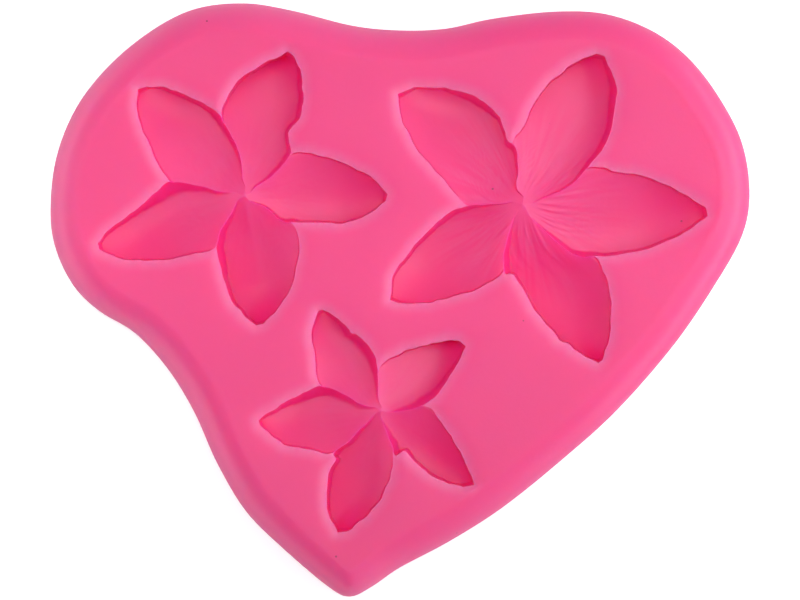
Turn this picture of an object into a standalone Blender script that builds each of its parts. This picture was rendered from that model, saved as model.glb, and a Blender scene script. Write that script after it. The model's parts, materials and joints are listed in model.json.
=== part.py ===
"""Silicone fondant mold: one cast slab with three five-petal flower cavities in its top face.

Metres, +Z up. The origin is under the middle of the slab, on the face that it rests on.
+X runs along the slab's length, and +Y across it towards its two lobes. The cavities open
upwards. In each flower the petals overlap like a pinwheel: a petal is deep along its
clockwise side, where its wall stands over the next petal, and shallow along the other.
"""

import math
from typing import NamedTuple

import bmesh
import bpy
import numpy as np
from mathutils import Vector
from mathutils.geometry import interpolate_bezier

# The slab
SLAB_LENGTH = 0.086
SLAB_WIDTH = 0.073
SLAB_THICKNESS = 0.012
SHOULDER_RADIUS = 0.0045
FOOT_RADIUS = 0.0015

# The flowers: reach is the radius of the circle that the petal tips nearly touch
LARGE_REACH = 0.02136
LARGE_DEEP = 0.0056
LARGE_SHALLOW = 0.0038
LARGE_THROAT = 0.0022
MEDIUM_REACH = 0.01828
MEDIUM_DEEP = 0.0054
MEDIUM_SHALLOW = 0.0036
MEDIUM_THROAT = 0.0020
SMALL_REACH = 0.0147
SMALL_DEEP = 0.0046
SMALL_SHALLOW = 0.0030
SMALL_THROAT = 0.0018

# How much lower a petal's clockwise side is where the five petals meet
THROAT_TILT = 0.0008

# How much lower the middle of a petal's floor is than its two sides
FLOOR_DISH = 0.0003

# A cavity's walls: the upright stretch at the mouth, and how far the wall below it slopes in
LIP_HEIGHT = 0.0004
SHALLOW_WALL = 0.0003
TIP_WALL = 0.0004
LEAST_DEEP_WALL = 0.0003

# How far a flower's first cutter stands out of the slab, and each later one above it
CUTTER_RISE = 0.001

# Shares of a petal's length, from the throat: where its shallow side gets a wall of its own,
# over what stretch the walls rise, and where its floor reaches its full depth
WALLED_FROM = 0.30
WALL_RISES_OVER = 0.12
FULL_DEPTH_FROM = 0.50

# Half of a petal's width at the throat, as a share of the flower's reach
THROAT_HALF_WIDTH = 0.04

# Fineness of the faceted surfaces, and how widely the shoulder's direction is blended
OUTLINE_STEPS = 3
SHOULDER_STEPS = 7
FOOT_STEPS = 3
ACROSS_STEPS = 7
ALONG_STEPS = 16
SIDE_STEPS = 6
DIRECTION_SMOOTHING = 40

SILICONE_PINK = (0.87, 0.10, 0.27, 1.0)
SILICONE_ROUGHNESS = 0.5

# Points of the slab's outline, clockwise from the left-most one, in thousandths of the
# slab's half length and half width
SLAB_OUTLINE = (
    (-1000, 295), (-984, 477), (-926, 649), (-830, 793), (-707, 911), (-584, 982),
    (-443, 1000), (-306, 975), (-137, 925), (0, 909), (132, 915), (263, 948),
    (438, 972), (584, 965), (715, 911), (818, 824), (904, 699), (976, 538),
    (1000, 366), (979, 218), (898, 46), (781, -155), (621, -371), (466, -536),
    (292, -701), (139, -815), (0, -902), (-80, -966), (-144, -1000), (-206, -966),
    (-340, -832), (-443, -709), (-524, -549), (-589, -378), (-664, -233), (-758, -112),
    (-860, -38), (-933, 46), (-984, 168),
)


class Petal(NamedTuple):
    """Points in hundredths of the flower's reach, from its centre, with x right and y up."""

    clockwise: tuple  # from the throat out to the tip, along the deep side
    tip: tuple  # the blunt tip's two corners, deep side first
    anticlockwise: tuple  # from the tip back in, along the shallow side
    slope: float  # how far the deep side's wall slopes in, at its widest


class Flower(NamedTuple):
    name: str
    centre: tuple  # shares of the slab's half length and half width
    reach: float
    deep: float
    shallow: float
    throat: float
    petals: tuple


LARGE_PETALS = (
    Petal(
        ((-3, 14), (-3, 25), (-8, 37), (-14, 49), (-27, 60), (-43, 66)),
        ((-62, 67), (-72, 63)),
        ((-69, 48), (-59, 29), (-45, 13), (-33, 0), (-17, -3)),
        5,
    ),
    Petal(
        ((10, 2), (25, 9), (37, 21), (49, 38), (53, 58), (53, 70)),
        ((47, 85), (42, 86)),
        ((28, 80), (11, 65), (0, 45), (-6, 34), (-7, 18)),
        4,
    ),
    Petal(
        ((7, -11), (18, -22), (30, -30), (41, -30), (55, -27), (76, -22), (94, -14)),
        ((106, -7), (105, -2)),
        ((90, 7), (72, 15), (54, 19), (38, 21), (21, 11)),
        3,
    ),
    Petal(
        ((-7, -11), (-11, -25), (-11, -39), (-5, -41), (4, -58), (17, -74), (31, -83)),
        ((43, -91), (46, -89)),
        ((50, -72), (50, -52), (46, -38), (41, -30), (24, -21)),
        6,
    ),
    Petal(
        ((-11, 1), (-25, -1), (-39, -5), (-53, -16), (-67, -31), (-74, -41)),
        ((-76, -55), (-71, -57)),
        ((-52, -56), (-33, -51), (-13, -41), (-6, -23)),
        3,
    ),
)

MEDIUM_PETALS = (
    Petal(
        ((-1, 15), (-9, 40), (-27, 58), (-48, 68)),
        ((-65, 73), (-71, 71)),
        ((-71, 53), (-61, 28), (-51, 11), (-26, -5)),
        7,
    ),
    Petal(
        ((14, 7), (28, 21), (31, 36), (39, 57), (40, 75)),
        ((33, 94), (29, 96)),
        ((9, 86), (-7, 73), (-15, 54), (-12, 30)),
        5,
    ),
    Petal(
        ((13, -8), (26, -18), (35, -18), (54, -17), (67, -17), (83, -12)),
        ((95, -4), (96, 1)),
        ((85, 12), (65, 22), (45, 28), (33, 28), (16, 15)),
        3,
    ),
    Petal(
        ((-9, -11), (-18, -27), (-17, -42), (-9, -69), (0, -80)),
        ((8, -87), (13, -86)),
        ((27, -70), (35, -47), (35, -23), (17, -7)),
        6,
    ),
    Petal(
        ((-17, 5), (-34, 9), (-51, 9), (-69, -7), (-89, -22)),
        ((-98, -32), (-97, -36)),
        ((-81, -43), (-56, -43), (-33, -39), (-18, -34), (-8, -15)),
        10,
    ),
)

SMALL_PETALS = (
    Petal(
        ((-2, 16), (-1, 32), (-7, 51), (-23, 67), (-36, 78)),
        ((-48, 85), (-52, 83)),
        ((-57, 69), (-56, 51), (-51, 22), (-28, 7)),
        8,
    ),
    Petal(
        ((14, -3), (29, 1), (41, 8), (54, 24), (65, 42)),
        ((70, 54), (65, 59)),
        ((47, 57), (26, 52), (2, 40), (-5, 22)),
        7,
    ),
    Petal(
        ((2, -17), (8, -33), (18, -34), (34, -48), (53, -60)),
        ((68, -63), (77, -62)),
        ((69, -40), (57, -19), (40, 2), (20, 5)),
        7,
    ),
    Petal(
        ((-12, -9), (-28, -22), (-40, -39), (-45, -66), (-42, -91)),
        ((-36, -101), (-28, -101)),
        ((-8, -83), (6, -59), (10, -38), (10, -20)),
        5,
    ),
    Petal(
        ((-18, 8), (-32, 17), (-51, 21), (-71, 12), (-92, 0)),
        ((-102, -8), (-101, -13)),
        ((-82, -27), (-62, -32), (-41, -35), (-21, -21)),
        12,
    ),
)

FLOWERS = (
    Flower(
        "large", (0.3497, 0.3209),
        LARGE_REACH, LARGE_DEEP, LARGE_SHALLOW, LARGE_THROAT, LARGE_PETALS,
    ),
    Flower(
        "medium", (-0.4431, 0.3507),
        MEDIUM_REACH, MEDIUM_DEEP, MEDIUM_SHALLOW, MEDIUM_THROAT, MEDIUM_PETALS,
    ),
    Flower(
        "small", (-0.0536, -0.3715),
        SMALL_REACH, SMALL_DEEP, SMALL_SHALLOW, SMALL_THROAT, SMALL_PETALS,
    ),
)


def clear_scene():
    for obj in list(bpy.data.objects):
        bpy.data.objects.remove(obj, do_unlink=True)


def new_collection(name):
    collection = bpy.data.collections.new(name)
    bpy.context.scene.collection.children.link(collection)
    return collection


def new_object(name, bm, collection):
    mesh = bpy.data.meshes.new(name)
    bm.to_mesh(mesh)
    bm.free()
    obj = bpy.data.objects.new(name, mesh)
    collection.objects.link(obj)
    return obj


def silicone():
    material = bpy.data.materials.new("silicone")
    material.use_nodes = True
    shader = material.node_tree.nodes["Principled BSDF"]
    shader.inputs["Base Color"].default_value = SILICONE_PINK
    shader.inputs["Roughness"].default_value = SILICONE_ROUGHNESS
    shader.inputs["Metallic"].default_value = 0.0
    return material


def smooth_line(points, steps, closed=False):
    """A smooth line through the points, with this many steps from each one to the next."""
    points = [Vector((x, y, 0)) for x, y in points]
    count = len(points)
    handles = []
    for i, point in enumerate(points):
        before = points[i - 1] if closed or i > 0 else point
        after = points[(i + 1) % count] if closed or i < count - 1 else point
        handles.append((after - before) / 6)
    line = []
    for i in range(count if closed else count - 1):
        j = (i + 1) % count
        span = interpolate_bezier(
            points[i], points[i] + handles[i], points[j] - handles[j], points[j], steps + 1
        )
        line += [(p.x, p.y) for p in span[:-1]]
    if not closed:
        line.append((points[-1].x, points[-1].y))
    return np.array(line)


def inward_directions(ring):
    """Unit normals of a clockwise ring, turned inwards and blended along it, so that the
    shoulder can pass round the pointed end without folding over itself."""
    along = np.roll(ring, -1, axis=0) - np.roll(ring, 1, axis=0)
    normals = np.stack([along[:, 1], -along[:, 0]], axis=1)
    normals /= np.linalg.norm(normals, axis=1, keepdims=True)
    for _ in range(DIRECTION_SMOOTHING):
        normals = (np.roll(normals, 1, axis=0) + 2 * normals + np.roll(normals, -1, axis=0)) / 4
    return normals


def slab_profile():
    """(inset, height) pairs up the slab's edge: rounded foot, upright side, wide shoulder."""
    profile = []
    for i in range(FOOT_STEPS + 1):
        angle = math.pi / 2 * i / FOOT_STEPS
        profile.append((FOOT_RADIUS * (1 - math.sin(angle)), FOOT_RADIUS * (1 - math.cos(angle))))
    for i in range(SHOULDER_STEPS + 1):
        angle = math.pi / 2 * i / SHOULDER_STEPS
        height = SLAB_THICKNESS - SHOULDER_RADIUS * (1 - math.sin(angle))
        profile.append((SHOULDER_RADIUS * (1 - math.cos(angle)), height))
    return profile


def slab(collection):
    """Rings of the outline, moved inwards where the edge is rounded, and bridged."""
    half = np.array([SLAB_LENGTH, SLAB_WIDTH]) / 2
    outline = smooth_line(SLAB_OUTLINE, OUTLINE_STEPS, closed=True) / 1000 * half
    inwards = inward_directions(outline)
    bm = bmesh.new()
    below = None
    for inset, height in slab_profile():
        verts = [bm.verts.new((x, y, height)) for x, y in outline + inset * inwards]
        edges = [bm.edges.new((a, b)) for a, b in zip(verts, verts[1:] + verts[:1])]
        if below is None:
            bm.faces.new(verts)
        else:
            bmesh.ops.bridge_loops(bm, edges=below + edges)
        below = edges
    bm.faces.new(verts)
    bmesh.ops.recalc_face_normals(bm, faces=bm.faces)
    return new_object("mold_body", bm, collection)


def petal_side(start, points, tip):
    """One side of a petal from its throat to its tip, as a function of the share passed."""
    line = smooth_line((start, *points, tip), SIDE_STEPS)
    length = np.concatenate([[0], np.cumsum(np.linalg.norm(np.diff(line, axis=0), axis=1))])

    def place(share):
        passed = share * length[-1]
        return np.array([np.interp(passed, length, line[:, 0]), np.interp(passed, length, line[:, 1])])

    return place


def smooth_step(value):
    value = min(max(value, 0.0), 1.0)
    return value * value * (3 - 2 * value)


def floor_depth(flower, along, across):
    """Depth below the slab's face of a petal's floor. It falls from the raised throat to its
    full depth, is lower on the clockwise side, and is dished in between."""
    full = flower.shallow + (flower.deep - flower.shallow) * across
    full += FLOOR_DISH * 4 * across * (1 - across)
    throat = flower.throat + THROAT_TILT * (across - 0.5)
    return throat + (full - throat) * smooth_step(along / FULL_DEPTH_FROM)


def wall_tops(floor, along):
    """Depths at which a petal's walls turn upright, on its shallow side and on its deep one.
    Both walls are missing at the throat, and the shallow side's starts further out."""
    rise = floor - LIP_HEIGHT
    shallow_side = floor - rise * smooth_step((along - WALLED_FROM) / WALL_RISES_OVER)
    deep_side = floor - rise * smooth_step(along / WALL_RISES_OVER)
    return shallow_side, deep_side


def petal_cutter(name, flower, petal, rise, collection):
    """A grid laid between the petal's two sides and extruded upwards. Its first and last
    columns and its last row slope up as walls, and the rest is the floor."""
    outwards = np.mean(petal.tip, axis=0)
    outwards /= np.linalg.norm(outwards)
    base = 100 * THROAT_HALF_WIDTH * np.array([outwards[1], -outwards[0]])
    clockwise = petal_side(base, petal.clockwise, petal.tip[0])
    anticlockwise = petal_side(-base, petal.anticlockwise[::-1], petal.tip[1])
    centre = np.array(flower.centre) * np.array([SLAB_LENGTH, SLAB_WIDTH]) / 2
    scale = flower.reach / 100
    tip_foot = 1 - TIP_WALL / (np.linalg.norm(petal.tip[0]) * scale)
    bm = bmesh.new()
    bmesh.ops.create_grid(bm, x_segments=ACROSS_STEPS, y_segments=ALONG_STEPS, size=0.5)
    for vert in bm.verts:
        column = round((vert.co.x + 0.5) * ACROSS_STEPS)
        row = round((vert.co.y + 0.5) * ALONG_STEPS)
        along = np.interp(row, (0, ALONG_STEPS - 1, ALONG_STEPS), (0, tip_foot, 1))
        shallow_side = anticlockwise(along) * scale
        deep_side = clockwise(along) * scale
        width = np.linalg.norm(deep_side - shallow_side)
        deep_wall = max(LEAST_DEEP_WALL, petal.slope * scale * math.sin(math.pi * along))
        feet = (0, SHALLOW_WALL / width, 1 - deep_wall / width, 1)
        across = np.interp(column, (0, 1, ACROSS_STEPS - 1, ACROSS_STEPS), feet)
        depth = floor_depth(flower, along, across)
        shallow_top, deep_top = wall_tops(depth, along)
        if row == ALONG_STEPS:
            depth = LIP_HEIGHT
        elif column == 0:
            depth = shallow_top
        elif column == ACROSS_STEPS:
            depth = deep_top
        x, y = centre + shallow_side + (deep_side - shallow_side) * across
        vert.co = (x, y, SLAB_THICKNESS - depth)
    raised = bmesh.ops.extrude_face_region(bm, geom=bm.faces[:])["geom"]
    for vert in (item for item in raised if isinstance(item, bmesh.types.BMVert)):
        vert.co.z = SLAB_THICKNESS + rise
    bmesh.ops.recalc_face_normals(bm, faces=bm.faces)
    cutter = new_object(name, bm, collection)
    cutter.hide_render = True
    cutter.display_type = "WIRE"


def cut_flowers(body, collection):
    """Each petal's cutter tops out at its own height, as no two of them may share a face."""
    for flower in FLOWERS:
        for number, petal in enumerate(flower.petals, start=1):
            name = f"{flower.name}_petal_cutter_{number}"
            petal_cutter(name, flower, petal, CUTTER_RISE * number, collection)
    cut = body.modifiers.new("flowers", "BOOLEAN")
    cut.operation = "DIFFERENCE"
    cut.solver = "EXACT"
    cut.operand_type = "COLLECTION"
    cut.collection = collection


def main():
    clear_scene()
    parts = new_collection("silicone_fondant_mold")
    cutters = new_collection("cutters")
    body = slab(parts)
    body.data.materials.append(silicone())
    cut_flowers(body, cutters)
    bpy.context.view_layer.update()


main()
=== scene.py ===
"""Looks of the silicone fondant mold: a pink cast slab with three flower cavities.

Metres, +Z up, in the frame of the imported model: the slab's underside is at z = 0, and the
camera looks straight down on its top face.
"""

import json
import math

import bmesh
import bpy
import numpy as np
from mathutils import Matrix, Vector, noise
from mathutils.kdtree import KDTree
from mathutils.geometry import interpolate_bezier

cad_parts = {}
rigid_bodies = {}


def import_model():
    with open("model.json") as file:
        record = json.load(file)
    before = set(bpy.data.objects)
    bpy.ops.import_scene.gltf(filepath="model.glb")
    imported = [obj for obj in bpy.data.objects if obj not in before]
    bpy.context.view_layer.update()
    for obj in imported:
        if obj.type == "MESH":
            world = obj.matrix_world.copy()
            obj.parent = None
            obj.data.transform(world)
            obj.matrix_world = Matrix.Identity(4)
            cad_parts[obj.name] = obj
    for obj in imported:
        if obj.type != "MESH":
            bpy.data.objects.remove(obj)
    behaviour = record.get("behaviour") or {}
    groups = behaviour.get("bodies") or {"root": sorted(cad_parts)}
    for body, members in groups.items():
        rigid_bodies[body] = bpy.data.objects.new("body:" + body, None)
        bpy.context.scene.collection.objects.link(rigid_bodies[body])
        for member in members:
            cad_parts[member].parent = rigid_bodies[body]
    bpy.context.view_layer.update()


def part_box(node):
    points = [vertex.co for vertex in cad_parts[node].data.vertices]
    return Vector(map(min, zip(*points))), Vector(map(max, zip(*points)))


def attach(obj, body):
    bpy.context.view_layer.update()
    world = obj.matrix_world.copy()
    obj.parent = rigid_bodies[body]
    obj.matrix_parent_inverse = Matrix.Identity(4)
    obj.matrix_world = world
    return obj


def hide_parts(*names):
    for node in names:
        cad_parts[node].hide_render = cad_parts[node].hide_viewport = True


# The slab's edge
SHOULDER_RADIUS = 0.0045
FOOT_RADIUS = 0.0015

# Thousandths in a metre, and sizes too small to matter
MILLIMETRES = 1000
TINY = 1e-6
TINY_AREA = 1e-9

# Shape of a petal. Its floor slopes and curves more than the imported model's, and is less deep
THROAT_DEPTH = 0.0009
LIP_HEIGHT = 0.0006
TIP_WALL = 0.0005
LOW_WALL = 0.00016
TIP_RISE = 0.30

# Where along a petal, from its throat, a change sets in and the stretch that it takes
LOW_WALL_STARTS = (0.30, 0.15)
DEEP_WALL_STARTS = (0.0, 0.10)
LOW_FLOOR_SINKS = (0.20, 0.65)
TIP_RISES = (0.64, 0.36)

# How quickly the deep side falls away from the throat, and how the floor curves up across
DEEP_FALL_POWER = 2.5
FLOOR_CURVE_POWER = 1.55

# Roundness of the walls, and of the wide fillets, which take this share of a petal's width
WALL_ROUNDNESS = 1.5
FILLET_ROUNDNESS = 2
FILLET_WIDTH = 0.42

# Half of a petal's width at the throat, as a share of the flower's reach
THROAT_HALF_WIDTH = 0.04

# Fineness of the cast surface. Faces crowd towards the petals' tips
OUTLINE_STEPS = 6
SHOULDER_STEPS = 16
FOOT_STEPS = 5
SIDE_STEPS = 14
DIRECTION_SMOOTHING = 160
FLOOR_SMOOTHING = 0.07
FLOOR_SAMPLES = 201
TIP_CROWDING = 1.6
TOP_SPACING = 0.0004
SHARP_ABOVE = math.radians(35)

# Finding a spot between a petal's two sides: rounds, the probe's length, the longest steps
FIT_ROUNDS = 8
FIT_PROBE = 0.01
FIT_STEPS = (0.05, 0.1)

# How far a flower's first cutter stands out of the slab, and each later one above it
CUTTER_RISE = 0.001

# How the top face rolls down towards a petal's rim, and swells between the flowers
ROLL_DEPTH = 0.00035
ROLL_WIDTH = 0.0007
SWELL = 0.00008
SWELL_EVERY = 0.018

# Painted light at the slab's edge, a painted sheen, and beside the rims, a painted highlight: in
# the middle, what the left adds, and its reach
PAINTED_EDGE_SHEEN, PAINTED_EDGE_SHEEN_TURN, PAINTED_EDGE_SHEEN_REACH = 0.48, 0.24, 0.0058
PAINTED_RIM_HIGHLIGHT, PAINTED_RIM_HIGHLIGHT_TURN, PAINTED_RIM_HIGHLIGHT_REACH = 0.80, 0.20, 0.0011

# Painted light round a throat, where the shallow centre looks lit, and its reach as a share of the
# flower's
PAINTED_THROAT_LIGHT, PAINTED_THROAT_LIGHT_REACH = 0.27, 0.20

# Painted light on faces that point up, as lit from above, by the height of their normal
PAINTED_TOP_LIGHT = 0.155
FACING_UP = (0.78, 0.20)

# The painted light gives way at the tips, which stay deeper pink as painted shade, by shares of the
# flower's reach
OFF_TIP = (0.56, 0.36)

# Painted highlights in streaks along the veins from a throat. They stop this share of the
# shoulder's radius from the edge
PAINTED_VEIN_HIGHLIGHT = 0.38
STREAK_ANGLE = 0.035
STREAK_LENGTH = 0.006
STREAKS_START = (0.08, 0.1)
STREAKS_END = (0.7, -0.4)
STREAKS_INSIDE = 0.8

# Unevenness of the petals' cut sides, and a finer one on top of it, as shares of the first
RAGGED_BY = 0.00016
RAGGED_EVERY = 0.0015
FINE_RAGGED_BY = 0.5
FINE_RAGGED_RATE = 2.3

# The unevenness grows from the throat and is whole at this share of the side's length
RAGGED_WHOLE_AT = 0.25

# Steps between the patterns of two petals, of two flowers by their reach, and of two sides
PETAL_SEED = 10
REACH_SEED = 100
SIDE_SEED = 5

# Veins that run out from a petal's throat, and how deep a groove may be beside a ridge
VEIN_EVERY = 0.00042
VEIN_HEIGHT = 0.00014
VEIN_GROOVE = -0.2

# How far the veins keep the spread of the petal's widest place where it is narrower
VEINS_EVENED = 0.65
VEINS_START = (0.05, 0.12)
VEINS_END = (0.62, -0.45)

# The fold down the middle of one petal, by its flower and its number from 0
FOLDED_PETAL = ("medium", 3)
FOLD_ACROSS = 0.55
FOLD_HALF_WIDTH = 0.45
FOLD_HEIGHT = 0.00022
FOLD_STARTS = (0.0, 0.2)
FOLD_ENDS = (0.85, -0.4)

# Colours of the silicone: its clouded pink, the painted light on it and the specks of grit in it
CLOUD_PINKS = ((0.965, 0.012, 0.235, 1), (0.980, 0.017, 0.255, 1))
PAINTED_LIGHT_PINK = (0.95, 0.150, 0.39, 1)
GRIT_PINK = (0.42, 0.010, 0.085, 1)

# A cell holds a speck where its random value is past these, and the speck's edge in the cell
GRITTY_CELLS = (0.74, 0.76)
SPECK_EDGE = (0.040, 0.020)

# Roughness where the surface is least and most matt
SATIN = (0.38, 0.52)

# Softness of a spot lamp, as the radius of its bulb
SPOT_RADIUS = 0.04

# The table lies a hair below the underside, so that the two faces don't mix
TABLE_HALF_SIDE = 1.5
TABLE_DROP = 0.00005
TABLE_GLOW = 0.55

# Where the room's walls, the ring of light above them and the ceiling turn into each other
WALL_TURN = 0.2
CORNER_TURN = 0.3
RING_TURN = 0.55
RING_LIT_FROM = (0.93, 0.37, 0)
WALLS_END = (0.20, 0.32)
CEILING_STARTS = (0.82, 0.92)

# The camera takes in this width at the level where the slab is widest
VIEW_WIDTH = 0.098424
VIEW_LEVEL = 0.0075
LENS = 250
SENSOR_WIDTH = 36

# The slab's outline, clockwise from its left-most point, in thousandths of its half sides
SLAB_OUTLINE = (
    (-1000, 295), (-984, 477), (-926, 649), (-830, 793), (-707, 911), (-584, 982),
    (-443, 1000), (-306, 975), (-137, 925), (0, 909), (132, 915), (263, 948),
    (438, 972), (584, 965), (715, 911), (818, 824), (904, 699), (976, 538),
    (1000, 366), (979, 218), (898, 46), (781, -155), (621, -371), (466, -536),
    (292, -701), (139, -815), (0, -902), (-80, -966), (-144, -1000), (-206, -966),
    (-340, -832), (-443, -709), (-524, -549), (-589, -378), (-664, -233), (-758, -112),
    (-860, -38), (-933, 46), (-984, 168),
)

# Each petal, in hundredths of the flower's reach: its deep clockwise side from the throat
# outwards, the blunt tip's two corners, its shallow side from the tip back in, and how far the
# deep side's wall slopes in at hundredths of the petal's length. Three shares come last: the
# shallow side's depth in the flower's deepest, and how much of the shallow side's and of the
# deep side's depth is a wide fillet
LARGE_PETALS = (
    (
        (
            (-3.4, 9.7), (-2.2, 19.5), (-2.6, 28), (-4.4, 34.3), (-8.2, 36), (-10, 42.3),
            (-13.2, 49.2), (-18.9, 55.5), (-25.7, 60.7), (-36, 64.7), (-45.8, 66.7),
        ),
        ((-62, 67), (-72, 63)),
        ((-69, 48), (-59, 29), (-45, 13), (-33, 0), (-17, -3)),
        ((8, 1), (22, 3), (34, 3.5), (38, 1.2), (48, 1.5), (63, 3.8), (73, 3), (85, 1.2), (100, 1)),
        (0.35, 0.0, 0.28),
    ),
    (
        ((10, 2), (25, 9), (37, 21), (49, 38), (53, 58), (53, 70)),
        ((47, 85), (42, 86)),
        ((28, 80), (11, 65), (0, 45), (-6, 34), (-7, 18)),
        ((10, 1.7), (28, 1.7), (41, 2.3), (55, 3), (69, 3.2), (82, 4.4), (92, 3.5), (100, 1.5)),
        (0.85, 0.0, 0.42),
    ),
    (
        ((7, -11), (18, -22), (30, -30), (41, -30), (55, -28.7), (76, -24), (94, -15.5)),
        ((106, -7), (105, -2)),
        ((90, 7), (72, 15), (54, 19), (38, 21), (21, 11)),
        ((10, 2), (25, 4.5), (38, 4), (45, 2), (60, 1.5), (100, 1)),
        (0.5, 0.0, 0.16),
    ),
    (
        (
            (-7, -11), (-11, -25), (-10.9, -39.5), (-6.3, -40.2), (-3, -43.5), (6.9, -60.7),
            (18.5, -75), (20.3, -77.6), (26.3, -80), (31, -84.5),
        ),
        ((43, -91), (46, -89)),
        ((50, -72), (50, -52), (46, -38), (41, -30), (24, -21)),
        ((8, 2), (20, 4.6), (32, 5), (37, 1.8), (60, 1.5), (100, 1)),
        (0.5, 0.32, 0.0),
    ),
    (
        ((-11, 1), (-25, 0), (-39, -3), (-53, -13.5), (-67, -30), (-74, -41)),
        ((-76, -55), (-71, -57)),
        ((-52, -56), (-33, -51), (-13, -41), (-6, -23)),
        ((10, 1), (28, 2.3), (42, 3), (60, 2), (100, 1)),
        (0.52, 0.0, 0.24),
    ),
)

MEDIUM_PETALS = (
    (
        ((-0.3, 12), (-0.8, 22), (-3.6, 35), (-11, 48), (-18.5, 55.8), (-28, 62), (-48, 71)),
        ((-65, 73), (-71, 71)),
        ((-71, 53), (-61, 28), (-51, 11), (-26, -5)),
        ((5, 1.5), (16, 3.3), (29, 5), (42, 6.5), (52, 4.5), (60, 3), (80, 2.5), (100, 1.3)),
        (0.37, 0.0, 0.26),
    ),
    (
        (
            (8, 5), (18.5, 11.4), (27.5, 21.5), (30.7, 28.8), (30, 40), (32, 45),
            (37.2, 51.6), (39.4, 63.6), (38.5, 80),
        ),
        ((33, 94), (29, 96)),
        ((9, 86), (-7, 73), (-15, 54), (-12, 30)),
        ((8, 2.5), (20, 4), (32, 4), (42, 3), (50, 2.5), (62, 3.5), (80, 4), (92, 2.7), (100, 1.3)),
        (1.0, 0.0, 0.32),
    ),
    (
        ((13, -8), (26, -18), (35, -18), (54, -18.3), (67, -18.3), (83, -12.6)),
        ((95, -4), (96, 1)),
        ((85, 12), (65, 22), (45, 28), (33, 28), (16, 15)),
        ((10, 1.5), (25, 2.7), (34, 3), (40, 1.5), (80, 1.3), (100, 1)),
        (0.5, 0.0, 0.16),
    ),
    (
        ((-9, -11), (-18, -27), (-17, -42), (-9, -69), (0, -80)),
        ((8, -87), (13, -86)),
        ((27, -70), (35, -47), (35, -23), (17, -7)),
        ((8, 2), (18, 4.5), (30, 5.7), (45, 5), (58, 2.7), (75, 2), (100, 1.3)),
        (0.52, 0.36, 0.0),
    ),
    (
        ((-17, 5), (-34, 9), (-51, 9), (-69, -7), (-89, -22)),
        ((-98, -32), (-97, -36)),
        ((-81, -43), (-56, -43), (-33, -39), (-18, -34), (-8, -15)),
        ((6, 2), (15, 5), (28, 6), (43, 10), (54, 7.5), (63, 4), (72, 2.5), (100, 1.5)),
        (0.56, 0.0, 0.3),
    ),
)

SMALL_PETALS = (
    (
        (
            (-1, 9), (-2, 25), (-3.5, 40), (-7, 50), (-19.5, 64), (-24.5, 65.3),
            (-27, 69), (-36, 77.5),
        ),
        ((-48, 85), (-52, 83)),
        ((-57, 69), (-56, 51), (-51, 22), (-28, 7)),
        ((8, 2.5), (25, 4.5), (42, 7), (55, 8), (68, 6.5), (82, 3.5), (100, 2)),
        (0.39, 0.0, 0.42),
    ),
    (
        ((14, -3), (29, 1), (41, 8), (54, 24), (65, 42)),
        ((70, 54), (65, 59)),
        ((47, 57), (26, 52), (2, 40), (-5, 22)),
        ((8, 4), (22, 6.5), (38, 7), (52, 5), (70, 3), (100, 1.5)),
        (1.0, 0.0, 0.44),
    ),
    (
        (
            (2, -15), (5.7, -25), (11.3, -36.5), (15, -35.2), (18.5, -33.6), (21.5, -35.6),
            (28.2, -42.6), (38, -51.5), (50, -58),
        ),
        ((68, -63), (77, -62)),
        ((69, -40), (57, -19), (40, 2), (20, 5)),
        ((8, 3), (20, 6.5), (33, 7.5), (42, 3), (55, 2), (100, 1.5)),
        (0.45, 0.0, 0.16),
    ),
    (
        ((-12, -9), (-27, -24), (-40, -35.5), (-38.3, -40), (-43, -50), (-45.3, -66), (-44, -84)),
        ((-36, -101), (-28, -101)),
        ((-8, -83), (6, -59), (10, -38), (10, -20)),
        ((8, 3), (25, 5), (42, 4.5), (50, 3.5), (65, 3.5), (85, 2), (100, 1.3)),
        (0.5, 0.38, 0.0),
    ),
    (
        ((-18, 8), (-32, 17), (-51, 21), (-71, 12), (-92, 0)),
        ((-102, -8), (-101, -13)),
        ((-82, -27), (-62, -32), (-41, -35), (-21, -21)),
        ((6, 4), (18, 8), (35, 9), (50, 9.5), (63, 7), (80, 4), (100, 2)),
        (0.48, 0.0, 0.24),
    ),
)

# Name, centre in shares of the half sides, reach, deepest floor, share of veining, steps across
# and along each petal, petals
FLOWERS = (
    ("large", (0.3497, 0.3209), 0.02136, 0.0049, 1.0, (60, 110), LARGE_PETALS),
    ("medium", (-0.4431, 0.3507), 0.01828, 0.0048, 0.35, (42, 84), MEDIUM_PETALS),
    ("small", (-0.0536, -0.3715), 0.0147, 0.0042, 0.3, (34, 74), SMALL_PETALS),
)


def smooth_line(points, steps, closed=False):
    """A smooth line through the points, with this many steps from each one to the next."""
    points = [Vector((x, y, 0)) for x, y in points]
    count = len(points)
    handles = []
    for i, point in enumerate(points):
        before = points[i - 1] if closed or i > 0 else point
        after = points[(i + 1) % count] if closed or i < count - 1 else point
        handles.append((after - before) / 6)
    line = []
    for i in range(count if closed else count - 1):
        j = (i + 1) % count
        span = interpolate_bezier(
            points[i], points[i] + handles[i], points[j] - handles[j], points[j], steps + 1
        )
        line += [(p.x, p.y) for p in span[:-1]]
    if not closed:
        line.append((points[-1].x, points[-1].y))
    return np.array(line)


def inward_directions(ring):
    """Which way is inwards at each point of the outline, smoothed so the shoulder doesn't fold."""
    along = np.roll(ring, -1, axis=0) - np.roll(ring, 1, axis=0)
    normals = np.stack([along[:, 1], -along[:, 0]], axis=1)
    normals /= np.linalg.norm(normals, axis=1, keepdims=True)
    for _ in range(DIRECTION_SMOOTHING):
        normals = (np.roll(normals, 1, axis=0) + 2 * normals + np.roll(normals, -1, axis=0)) / 4
    return normals


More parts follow.
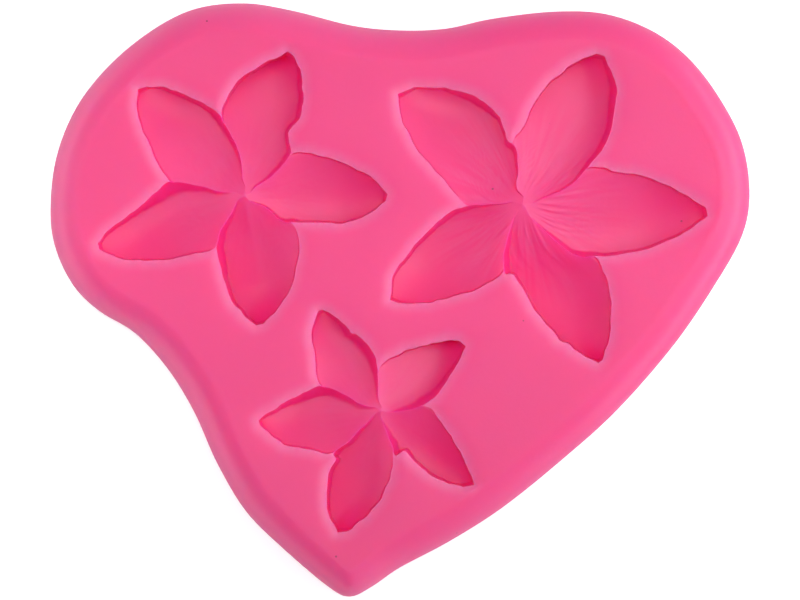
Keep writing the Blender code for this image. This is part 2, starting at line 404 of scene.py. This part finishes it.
def slab_profile(thickness):
    """Insets from the outline and heights, from the underside up round the foot and shoulder."""
    profile = []
    for i in range(FOOT_STEPS + 1):
        angle = math.pi / 2 * i / FOOT_STEPS
        profile.append((FOOT_RADIUS * (1 - math.sin(angle)), FOOT_RADIUS * (1 - math.cos(angle))))
    for i in range(SHOULDER_STEPS + 1):
        angle = math.pi / 2 * i / SHOULDER_STEPS
        height = thickness - SHOULDER_RADIUS * (1 - math.sin(angle))
        profile.append((SHOULDER_RADIUS * (1 - math.cos(angle)), height))
    return profile


def new_piece(name, bm):
    """The shape as an object in the scene, at the origin."""
    mesh = bpy.data.meshes.new(name)
    bm.to_mesh(mesh)
    bm.free()
    piece = bpy.data.objects.new(name, mesh)
    bpy.context.scene.collection.objects.link(piece)
    return piece


def slab_blank(outline, half, thickness):
    """Rings of the outline bridged up the edge, and a top cap cut into small squares."""
    inwards = inward_directions(outline)
    bm = bmesh.new()
    below = None
    for inset, height in slab_profile(thickness):
        verts = [bm.verts.new((x, y, height)) for x, y in outline + inset * inwards]
        edges = [bm.edges.new((a, b)) for a, b in zip(verts, verts[1:] + verts[:1])]
        if below is None:
            bm.faces.new(verts)
        else:
            bmesh.ops.bridge_loops(bm, edges=below + edges)
        below = edges
    cap = [bm.faces.new(verts)]
    for axis in (0, 1):
        for step in np.arange(-half[axis] + TOP_SPACING, half[axis], TOP_SPACING):
            place, facing = Vector(), Vector()
            place[axis] = step
            facing[axis] = 1
            reach = set(cap) | {edge for face in cap for edge in face.edges}
            reach |= {vert for face in cap for vert in face.verts}
            made = bmesh.ops.bisect_plane(bm, geom=list(reach), plane_co=place, plane_no=facing)
            cap = [item for item in made["geom"] if isinstance(item, bmesh.types.BMFace)]
    bmesh.ops.recalc_face_normals(bm, faces=bm.faces)
    return bm


def smooth_step(value):
    """0 to 1 with soft ends."""
    value = np.clip(value, 0.0, 1.0)
    return value * value * (3 - 2 * value)


def eased(value, start, over):
    """0 up to the start and 1 once this far past it, or back from 1 to 0 if over is negative."""
    return smooth_step((value - start) / over)


def ramp(value, roundness):
    """0 at a petal's rim, rising to 1 at the foot of its wall, and rounded there."""
    value = np.clip(value, 0.0, 1.0)
    return 1 - (1 - value) ** roundness


def ragged_side(start, points, tip, reach, seed):
    """A petal's side from throat to tip in metres, slightly uneven as a hand-carved edge."""
    line = smooth_line((start, *points, tip), SIDE_STEPS) / 100 * reach
    steps = np.linalg.norm(np.diff(line, axis=0), axis=1)
    length = np.concatenate([[0], np.cumsum(steps)])
    along = np.gradient(line, axis=0)
    along /= np.linalg.norm(along, axis=1, keepdims=True)
    sideways = np.stack([along[:, 1], -along[:, 0]], axis=1)
    for i, passed in enumerate(length):
        place = Vector((passed / RAGGED_EVERY, seed, 0.5))
        sway = noise.noise(place) + FINE_RAGGED_BY * noise.noise(place * FINE_RAGGED_RATE)
        fade = min(1.0, passed / length[-1] / RAGGED_WHOLE_AT)
        line[i] += sideways[i] * sway * RAGGED_BY * fade
    return length / length[-1], line, length[-1]


def evened_line(share, line):
    """The petal's side with its notches smoothed out, and both ends kept."""
    even = np.linspace(0, 1, FLOOR_SAMPLES)
    reach = np.arange(-FLOOR_SAMPLES + 1, FLOOR_SAMPLES) / FLOOR_SAMPLES / FLOOR_SMOOTHING
    weights = np.exp(-(reach ** 2) / 2)
    weights /= weights.sum()
    smooth = []
    for k in (0, 1):
        values = np.interp(even, share, line[:, k])
        before = 2 * values[0] - values[:0:-1]
        after = 2 * values[-1] - values[-2::-1]
        smooth.append(np.convolve(np.concatenate([before, values, after]), weights, "valid"))
    return even, np.stack(smooth, axis=1)


def along_line(line, share):
    """The points at these shares of a petal's side."""
    return np.stack([np.interp(share, line[0], line[1][:, k]) for k in (0, 1)], axis=1)


def floor_shares(spots, low, deep, along, across):
    """Where each spot lies between the two evened sides: its shares along and across."""
    for _ in range(FIT_ROUNDS):
        on_low, on_deep = along_line(low, along), along_line(deep, along)
        ahead = np.clip(along + FIT_PROBE, 0, 1)
        behind = np.clip(along - FIT_PROBE, 0, 1)
        span = (ahead - behind)[:, None]
        low_run = (along_line(low, ahead) - along_line(low, behind)) / span
        deep_run = (along_line(deep, ahead) - along_line(deep, behind)) / span
        side = across[:, None]
        missed = spots - on_low * (1 - side) - on_deep * side
        run = low_run * (1 - side) + deep_run * side
        wide = on_deep - on_low
        area = run[:, 0] * wide[:, 1] - run[:, 1] * wide[:, 0]
        area = np.where(np.abs(area) < TINY_AREA, TINY_AREA, area)
        along_step = (missed[:, 0] * wide[:, 1] - missed[:, 1] * wide[:, 0]) / area
        across_step = (run[:, 0] * missed[:, 1] - run[:, 1] * missed[:, 0]) / area
        along = np.clip(along + np.clip(along_step, -FIT_STEPS[0], FIT_STEPS[0]), 0, 1)
        across = np.clip(across + np.clip(across_step, -FIT_STEPS[1], FIT_STEPS[1]), 0, 1)
    return along, across


def fold_height(out, over):
    """The one folded petal's ridge, by the shares along and across it."""
    beside = np.abs(over - FOLD_ACROSS) / FOLD_HALF_WIDTH
    fold = np.clip(1 - beside, 0, 1) ** 2 * eased(out, *FOLD_STARTS)
    return FOLD_HEIGHT * fold * eased(out, *FOLD_ENDS)


def vein_heights(out, over, across, width, veining, seed):
    """Fine ridges that run out from the throat and die away before the tip."""
    veined = eased(out, *VEINS_START) * eased(out, *VEINS_END)
    veined *= smooth_step(4 * across * (1 - across))
    evened_width = (1 - VEINS_EVENED) * width + VEINS_EVENED * np.max(width)
    spread = (over - 0.5) * evened_width / VEIN_EVERY
    heights = []
    for aside, passed, strength in zip(spread, out, veined):
        ridge = noise.noise(Vector((aside, 3 * passed, seed)))
        heights.append(VEIN_HEIGHT * veining * strength * max(ridge, VEIN_GROOVE))
    return np.array(heights)


def petal_cutter(flower, number, thickness, half):
    """A grid between a petal's two sides, sunk to its floor and extruded out of the slab."""
    name, share, reach, deep, veining, steps, petals = flower
    clockwise, tip, anticlockwise, slopes, (low_share, hollow, rounding) = petals[number]
    shallow = low_share * deep
    outwards = np.mean(tip, axis=0)
    outwards /= np.linalg.norm(outwards)
    base = 100 * THROAT_HALF_WIDTH * np.array([outwards[1], -outwards[0]])
    seed = PETAL_SEED * number + REACH_SEED * reach * MILLIMETRES
    deep_passed, deep_line, deep_length = ragged_side(base, clockwise, tip[0], reach, seed)
    backwards = anticlockwise[::-1]
    low_passed, low_line, _ = ragged_side(-base, backwards, tip[1], reach, seed + SIDE_SEED)
    centre = np.array(share) * half

    bm = bmesh.new()
    bmesh.ops.create_grid(bm, x_segments=steps[0], y_segments=steps[1], size=0.5)
    flat = np.array([vert.co[:2] for vert in bm.verts])
    across = (1 - np.cos(np.pi * (flat[:, 0] + 0.5))) / 2
    along = 1 - np.clip(0.5 - flat[:, 1], 0, None) ** TIP_CROWDING
    on_deep = along_line((deep_passed, deep_line), along)
    on_low = along_line((low_passed, low_line), along)
    spots = on_low * (1 - across[:, None]) + on_deep * across[:, None]

    sides = evened_line(low_passed, low_line), evened_line(deep_passed, deep_line)
    out, over = floor_shares(spots, *sides, along, across)
    low_floor = THROAT_DEPTH + (shallow - THROAT_DEPTH) * eased(out, *LOW_FLOOR_SINKS)
    deep_floor = THROAT_DEPTH + (deep - THROAT_DEPTH) * (1 - (1 - out) ** DEEP_FALL_POWER)
    deep_floor *= 1 - TIP_RISE * eased(out, *TIP_RISES)
    floor = low_floor + (deep_floor - low_floor) * (1 - (1 - over) ** FLOOR_CURVE_POWER)
    width = np.linalg.norm(on_deep - on_low, axis=1)
    span = np.linalg.norm(along_line(sides[1], out) - along_line(sides[0], out), axis=1)
    deep_wall = np.interp(100 * along, *np.transpose(slopes)) / 100 * reach
    fillet = FILLET_WIDTH * np.max(width)
    deep_side = (1 - rounding) * ramp((1 - across) * width / deep_wall, WALL_ROUNDNESS)
    deep_side += rounding * ramp((1 - over) * span / fillet, FILLET_ROUNDNESS)
    low_side = (1 - hollow) * ramp(across * width / LOW_WALL, WALL_ROUNDNESS)
    low_side += hollow * ramp(over * span / fillet, FILLET_ROUNDNESS)
    low_side = 1 - (1 - low_side) * eased(along, *LOW_WALL_STARTS)
    deep_side = 1 - (1 - deep_side) * eased(along, *DEEP_WALL_STARTS)
    tip_side = ramp((1 - along) * deep_length / TIP_WALL, WALL_ROUNDNESS)
    depth = LIP_HEIGHT + (floor - LIP_HEIGHT) * deep_side * low_side * tip_side

    if (name, number) == FOLDED_PETAL:
        depth -= fold_height(out, over)
    depth -= vein_heights(out, over, across, width, veining, seed)

    for vert, (x, y), sunk in zip(bm.verts, centre + spots, depth):
        vert.co = (x, y, thickness - sunk)
    rim = [(vert.co.x, vert.co.y) for vert in bm.verts if vert.is_boundary]
    raised = bmesh.ops.extrude_face_region(bm, geom=bm.faces[:])["geom"]
    for vert in (item for item in raised if isinstance(item, bmesh.types.BMVert)):
        vert.co.z = thickness + CUTTER_RISE * (number + 1)
    bmesh.ops.recalc_face_normals(bm, faces=bm.faces)
    return new_piece(f"{name}_petal_cutter_{number + 1}", bm), rim


def nearest_point(points):
    """A search for the point nearest a place, seen from above."""
    tree = KDTree(len(points))
    for i, (x, y) in enumerate(points):
        tree.insert((x, y, 0), i)
    tree.balance()
    return lambda place: tree.find((place.x, place.y, 0))


def roll_top(bm, rims, thickness):
    """The top face sinks a little towards the rims, and swells gently elsewhere."""
    nearest_rim = nearest_point(rims)
    for vert in bm.verts:
        if vert.co.z < thickness - TINY:
            continue
        _, _, away = nearest_rim(vert.co)
        swell = noise.noise(vert.co / SWELL_EVERY)
        vert.co.z -= ROLL_DEPTH * math.exp(-away / ROLL_WIDTH) + SWELL * (0.5 + 0.5 * swell)


def throat_of(spot, half):
    """The flower that a spot belongs to, with how far out in its reach the spot lies."""
    found = []
    for flower in FLOWERS:
        centre, reach, streaked = np.array(flower[1]) * half, flower[2], flower[4]
        found.append((math.dist(spot, centre) / reach, tuple(centre), reach, streaked))
    return min(found)


def add_painted_light(mesh, rims, outline, half, thickness):
    """How pale the surface is painted as lit: most at the slab's edge (a painted sheen), beside the
    rims (a painted highlight) and round the flowers' throats, and also on faces that point up and
    in streaks along the veins.
    """
    nearest_rim, nearest_edge = nearest_point(rims), nearest_point(outline)
    painted_light = []
    for vert in mesh.vertices:
        # Faces that point up are painted paler, as lit from above
        flat = eased(vert.normal.z, *FACING_UP)
        rim, _, away = nearest_rim(vert.co)
        _, _, inset = nearest_edge(vert.co)
        # A painted sheen at the slab's edge, stronger on the left
        at_edge = PAINTED_EDGE_SHEEN - PAINTED_EDGE_SHEEN_TURN * vert.co.x / half[0]
        pale = max(at_edge * smooth_step(1 - inset / PAINTED_EDGE_SHEEN_REACH), PAINTED_TOP_LIGHT * flat)
        spot = np.array(vert.co[:2])
        out, centre, reach, streaked = throat_of(spot, half)
        # Painted light round the throats, on faces that point up
        pale = max(pale, PAINTED_THROAT_LIGHT * flat * math.exp(-((out / PAINTED_THROAT_LIGHT_REACH) ** 2)))
        in_petal = vert.co.z < thickness - 2 * ROLL_DEPTH
        # Painted highlights in streaks along the veins, on faces that point up
        if in_petal and inset > STREAKS_INSIDE * SHOULDER_RADIUS:
            aside, ahead = spot - centre
            turn = math.atan2(ahead, aside) / STREAK_ANGLE
            streak = noise.noise(Vector((turn, out * reach / STREAK_LENGTH, reach * MILLIMETRES)))
            fade = eased(out, *STREAKS_START) * eased(out, *STREAKS_END)
            pale += PAINTED_VEIN_HIGHLIGHT * streaked * fade * flat * streak
            # The painted light fades out towards the tips, leaving them deeper pink as if shaded
            pale *= 1 - eased(out, *OFF_TIP)
        # A painted highlight on the top face beside the rims, strongest left of a rim, as if lit
        # from the right
        if vert.co.z > thickness - 2 * ROLL_DEPTH:
            beside = PAINTED_RIM_HIGHLIGHT + PAINTED_RIM_HIGHLIGHT_TURN * (rim.x - vert.co.x) / max(away, TINY)
            pale = max(pale, beside * math.exp(-((away / PAINTED_RIM_HIGHLIGHT_REACH) ** 2)))
        painted_light.append(pale)
    mesh.attributes.new("painted_light", "FLOAT", "POINT").data.foreach_set("value", painted_light)


def cast_mold(half, thickness):
    """The slab with its three flowers cut out of the top face, and its painted light."""
    cutters = bpy.data.collections.new("petal_cutters")
    bpy.context.scene.collection.children.link(cutters)
    rims = []
    for flower in FLOWERS:
        for number in range(5):
            cutter, rim = petal_cutter(flower, number, thickness, half)
            bpy.context.scene.collection.objects.unlink(cutter)
            cutters.objects.link(cutter)
            rims += rim
    outline = smooth_line(SLAB_OUTLINE, OUTLINE_STEPS, closed=True) / 1000 * half
    outline = np.clip(outline, -half, half)
    blank = slab_blank(outline, half, thickness)
    roll_top(blank, rims, thickness)
    mold = new_piece("mold_casting", blank)
    cut = mold.modifiers.new("flowers", "BOOLEAN")
    cut.operation = "DIFFERENCE"
    cut.solver = "MANIFOLD"
    cut.operand_type = "COLLECTION"
    cut.collection = cutters
    evaluated = mold.evaluated_get(bpy.context.evaluated_depsgraph_get())
    mesh = bpy.data.meshes.new_from_object(evaluated)
    mold.modifiers.clear()
    mold.data = mesh
    for cutter in list(cutters.objects):
        bpy.data.objects.remove(cutter, do_unlink=True)
    bpy.data.collections.remove(cutters)
    add_painted_light(mesh, rims, outline, half, thickness)
    mesh.shade_smooth()
    mesh.set_sharp_from_angle(angle=SHARP_ABOVE)
    return mold


def add_node(tree, kind, **inputs):
    """A shader node with these values on its sockets."""
    node = tree.nodes.new(kind)
    for name, value in inputs.items():
        node.inputs[name.replace("_", " ")].default_value = value
    return node


def silicone():
    """Satin cast silicone, lit through near its edges, with painted light that pales it in places
    and specks of grit.
    """
    material = bpy.data.materials.new("cast_silicone")
    material.use_nodes = True
    tree = material.node_tree
    shader = tree.nodes["Principled BSDF"]
    place = tree.nodes.new("ShaderNodeTexCoord")

    cloud = add_node(tree, "ShaderNodeTexNoise", Scale=60.0, Detail=3.0, Roughness=0.5)
    tree.links.new(place.outputs["Object"], cloud.inputs["Vector"])
    tint = tree.nodes.new("ShaderNodeMix")
    tint.data_type = "RGBA"
    tint.inputs["A"].default_value, tint.inputs["B"].default_value = CLOUD_PINKS
    tree.links.new(cloud.outputs["Fac"], tint.inputs["Factor"])
    # The painted light, read from the mesh, mixes a paler pink into the base colour
    painted_light = tree.nodes.new("ShaderNodeAttribute")
    painted_light.attribute_name = "painted_light"
    paler = tree.nodes.new("ShaderNodeMix")
    paler.data_type = "RGBA"
    paler.inputs["B"].default_value = PAINTED_LIGHT_PINK
    tree.links.new(painted_light.outputs["Fac"], paler.inputs["Factor"])
    tree.links.new(tint.outputs["Result"], paler.inputs["A"])

    grit = add_node(tree, "ShaderNodeTexVoronoi", Scale=260.0)
    tree.links.new(place.outputs["Object"], grit.inputs["Vector"])
    parts = tree.nodes.new("ShaderNodeSeparateColor")
    tree.links.new(grit.outputs["Color"], parts.inputs["Color"])
    few = add_node(tree, "ShaderNodeMapRange", From_Min=GRITTY_CELLS[0], From_Max=GRITTY_CELLS[1])
    tree.links.new(parts.outputs["Red"], few.inputs["Value"])
    speck = add_node(tree, "ShaderNodeMapRange", From_Min=SPECK_EDGE[0], From_Max=SPECK_EDGE[1])
    tree.links.new(grit.outputs["Distance"], speck.inputs["Value"])
    specks = tree.nodes.new("ShaderNodeMath")
    specks.operation = "MULTIPLY"
    tree.links.new(few.outputs["Result"], specks.inputs[0])
    tree.links.new(speck.outputs["Result"], specks.inputs[1])
    gritty = tree.nodes.new("ShaderNodeMix")
    gritty.data_type = "RGBA"
    gritty.inputs["B"].default_value = GRIT_PINK
    tree.links.new(specks.outputs[0], gritty.inputs["Factor"])
    tree.links.new(paler.outputs["Result"], gritty.inputs["A"])
    tree.links.new(gritty.outputs["Result"], shader.inputs["Base Color"])

    rub = add_node(tree, "ShaderNodeTexNoise", Scale=400.0, Detail=4.0, Roughness=0.6)
    tree.links.new(place.outputs["Object"], rub.inputs["Vector"])
    matt = add_node(tree, "ShaderNodeMapRange", To_Min=SATIN[0], To_Max=SATIN[1])
    tree.links.new(rub.outputs["Fac"], matt.inputs["Value"])
    tree.links.new(matt.outputs["Result"], shader.inputs["Roughness"])

    grain = add_node(tree, "ShaderNodeTexNoise", Scale=2500.0, Detail=3.0, Roughness=0.6)
    tree.links.new(place.outputs["Object"], grain.inputs["Vector"])
    bump = add_node(tree, "ShaderNodeBump", Strength=0.15, Distance=0.0001)
    tree.links.new(grain.outputs["Fac"], bump.inputs["Height"])
    tree.links.new(bump.outputs["Normal"], shader.inputs["Normal"])

    shader.inputs["IOR"].default_value = 1.5
    shader.inputs["Specular IOR Level"].default_value = 1.0
    shader.inputs["Subsurface Weight"].default_value = 1.0
    shader.inputs["Subsurface Radius"].default_value = (1.0, 0.12, 0.35)
    shader.inputs["Subsurface Scale"].default_value = 0.004
    return material


def white_floor():
    """The white table, which glows only where the camera sees it itself."""
    bm = bmesh.new()
    bmesh.ops.create_grid(bm, x_segments=2, y_segments=2, size=TABLE_HALF_SIDE)
    bmesh.ops.translate(bm, vec=(0, 0, -TABLE_DROP), verts=bm.verts)
    floor = new_piece("table", bm)
    material = bpy.data.materials.new("white_table")
    material.use_nodes = True
    tree = material.node_tree
    tree.nodes.clear()
    paper = add_node(tree, "ShaderNodeBsdfDiffuse", Color=(0.9, 0.9, 0.9, 1))
    glow = add_node(tree, "ShaderNodeEmission", Color=(1, 1, 1, 1))
    seen = tree.nodes.new("ShaderNodeLightPath")
    share = tree.nodes.new("ShaderNodeMath")
    share.operation = "MULTIPLY"
    share.inputs[1].default_value = TABLE_GLOW
    tree.links.new(seen.outputs["Is Camera Ray"], share.inputs[0])
    tree.links.new(share.outputs[0], glow.inputs["Strength"])
    both = tree.nodes.new("ShaderNodeAddShader")
    tree.links.new(paper.outputs[0], both.inputs[0])
    tree.links.new(glow.outputs[0], both.inputs[1])
    output = tree.nodes.new("ShaderNodeOutputMaterial")
    tree.links.new(both.outputs[0], output.inputs["Surface"])
    floor.data.materials.append(material)


def softbox(name, place, size, power):
    """A square lamp that faces the middle of the table."""
    lamp = bpy.data.lights.new(name, "AREA")
    lamp.size = size
    lamp.energy = power
    box = bpy.data.objects.new(name, lamp)
    bpy.context.scene.collection.objects.link(box)
    box.location = place
    box.visible_camera = False
    box.rotation_euler = Vector(place).to_track_quat("Z", "Y").to_euler()


def spot_lamp(name, place, aim, pool, power):
    """A soft round pool of light on the table, this wide in radius."""
    lamp = bpy.data.lights.new(name, "SPOT")
    away = Vector(place) - Vector(aim)
    lamp.spot_size = 2 * math.atan(pool / away.length)
    lamp.spot_blend = 1.0
    lamp.shadow_soft_size = SPOT_RADIUS
    lamp.energy = power
    spot = bpy.data.objects.new(name, lamp)
    bpy.context.scene.collection.objects.link(spot)
    spot.location = place
    spot.rotation_euler = away.to_track_quat("Z", "Y").to_euler()
    spot.visible_camera = False
    spot.visible_glossy = False


def room_light(right, left, far, near, lit, unlit, cap):
    """Bright walls along the horizon, a ring above them lit from the right, and the ceiling."""
    world = bpy.data.worlds.new("studio")
    bpy.context.scene.world = world
    world.use_nodes = True
    tree = world.node_tree
    place = tree.nodes.new("ShaderNodeTexCoord")
    split = tree.nodes.new("ShaderNodeSeparateXYZ")
    tree.links.new(place.outputs["Generated"], split.inputs["Vector"])

    def fade(source, start, end, before, after):
        step = tree.nodes.new("ShaderNodeMapRange")
        step.interpolation_type = "SMOOTHSTEP"
        tree.links.new(source, step.inputs["Value"])
        step.inputs["From Min"].default_value = start
        step.inputs["From Max"].default_value = end
        for socket, value in (("To Min", before), ("To Max", after)):
            if isinstance(value, float):
                step.inputs[socket].default_value = value
            else:
                tree.links.new(value, step.inputs[socket])
        return step.outputs["Result"]

    def combine(operation, first, second):
        node = tree.nodes.new("ShaderNodeMath")
        node.operation = operation
        tree.links.new(first, node.inputs[0])
        tree.links.new(second, node.inputs[1])
        return node.outputs[0]

    across = fade(split.outputs["X"], -WALL_TURN, WALL_TURN, left, right)
    along = fade(split.outputs["Y"], -WALL_TURN, WALL_TURN, near, far)
    sideways = combine("MULTIPLY", split.outputs["X"], split.outputs["X"])
    lengthways = combine("MULTIPLY", split.outputs["Y"], split.outputs["Y"])
    turned = combine("SUBTRACT", sideways, lengthways)
    walls = fade(turned, -CORNER_TURN, CORNER_TURN, along, across)
    slant = tree.nodes.new("ShaderNodeVectorMath")
    slant.operation = "DOT_PRODUCT"
    slant.inputs[1].default_value = RING_LIT_FROM
    tree.links.new(place.outputs["Generated"], slant.inputs[0])
    ring = fade(slant.outputs["Value"], -RING_TURN, RING_TURN, unlit, lit)
    light = fade(split.outputs["Z"], *WALLS_END, walls, ring)
    light = fade(split.outputs["Z"], *CEILING_STARTS, light, cap)
    sky = tree.nodes["Background"]
    sky.inputs["Color"].default_value = (1, 1, 1, 1)
    tree.links.new(light, sky.inputs["Strength"])


def overhead_camera():
    """A long lens straight above the slab."""
    data = bpy.data.cameras.new("overhead")
    data.lens = LENS
    data.sensor_width = SENSOR_WIDTH
    camera = bpy.data.objects.new("overhead", data)
    bpy.context.scene.collection.objects.link(camera)
    camera.location = (0, 0, VIEW_LEVEL + VIEW_WIDTH * LENS / SENSOR_WIDTH)
    bpy.context.scene.camera = camera


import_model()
low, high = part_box("mold_body")
half = np.array([high.x - low.x, high.y - low.y]) / 2

mold = cast_mold(half, high.z - low.z)
mold.data.materials.clear()
mold.data.materials.append(silicone())
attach(mold, "root")
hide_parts("mold_body")

white_floor()
room_light(right=3.4, left=2.3, far=0.2, near=0.2, lit=0.70, unlit=0.16, cap=0.88)
softbox("left_lamp", (-0.11, 0.015, 0.11), size=0.07, power=0.014)
softbox("right_lamp", (0.11, 0.015, 0.11), size=0.07, power=0.018)
softbox("high_right_softbox", (0.2, 0.0, 0.43), size=0.3, power=0.158)
softbox("high_far_softbox", (0.0, 0.2, 0.43), size=0.3, power=0.03)
softbox("low_right_softbox", (0.47, 0.0, 0.17), size=0.3, power=0.103)
spot_lamp("left_spot", (-0.03, 0.03, 0.45), (-0.042, 0.013, 0.012), pool=0.050, power=2.2)
spot_lamp("middle_spot", (0.0, 0.03, 0.45), (0.0, 0.017, 0.012), pool=0.036, power=0.9)
spot_lamp("right_spot", (0.03, 0.03, 0.45), (0.040, 0.011, 0.012), pool=0.050, power=2.2)
overhead_camera()
bpy.context.scene.view_settings.view_transform = "Standard"
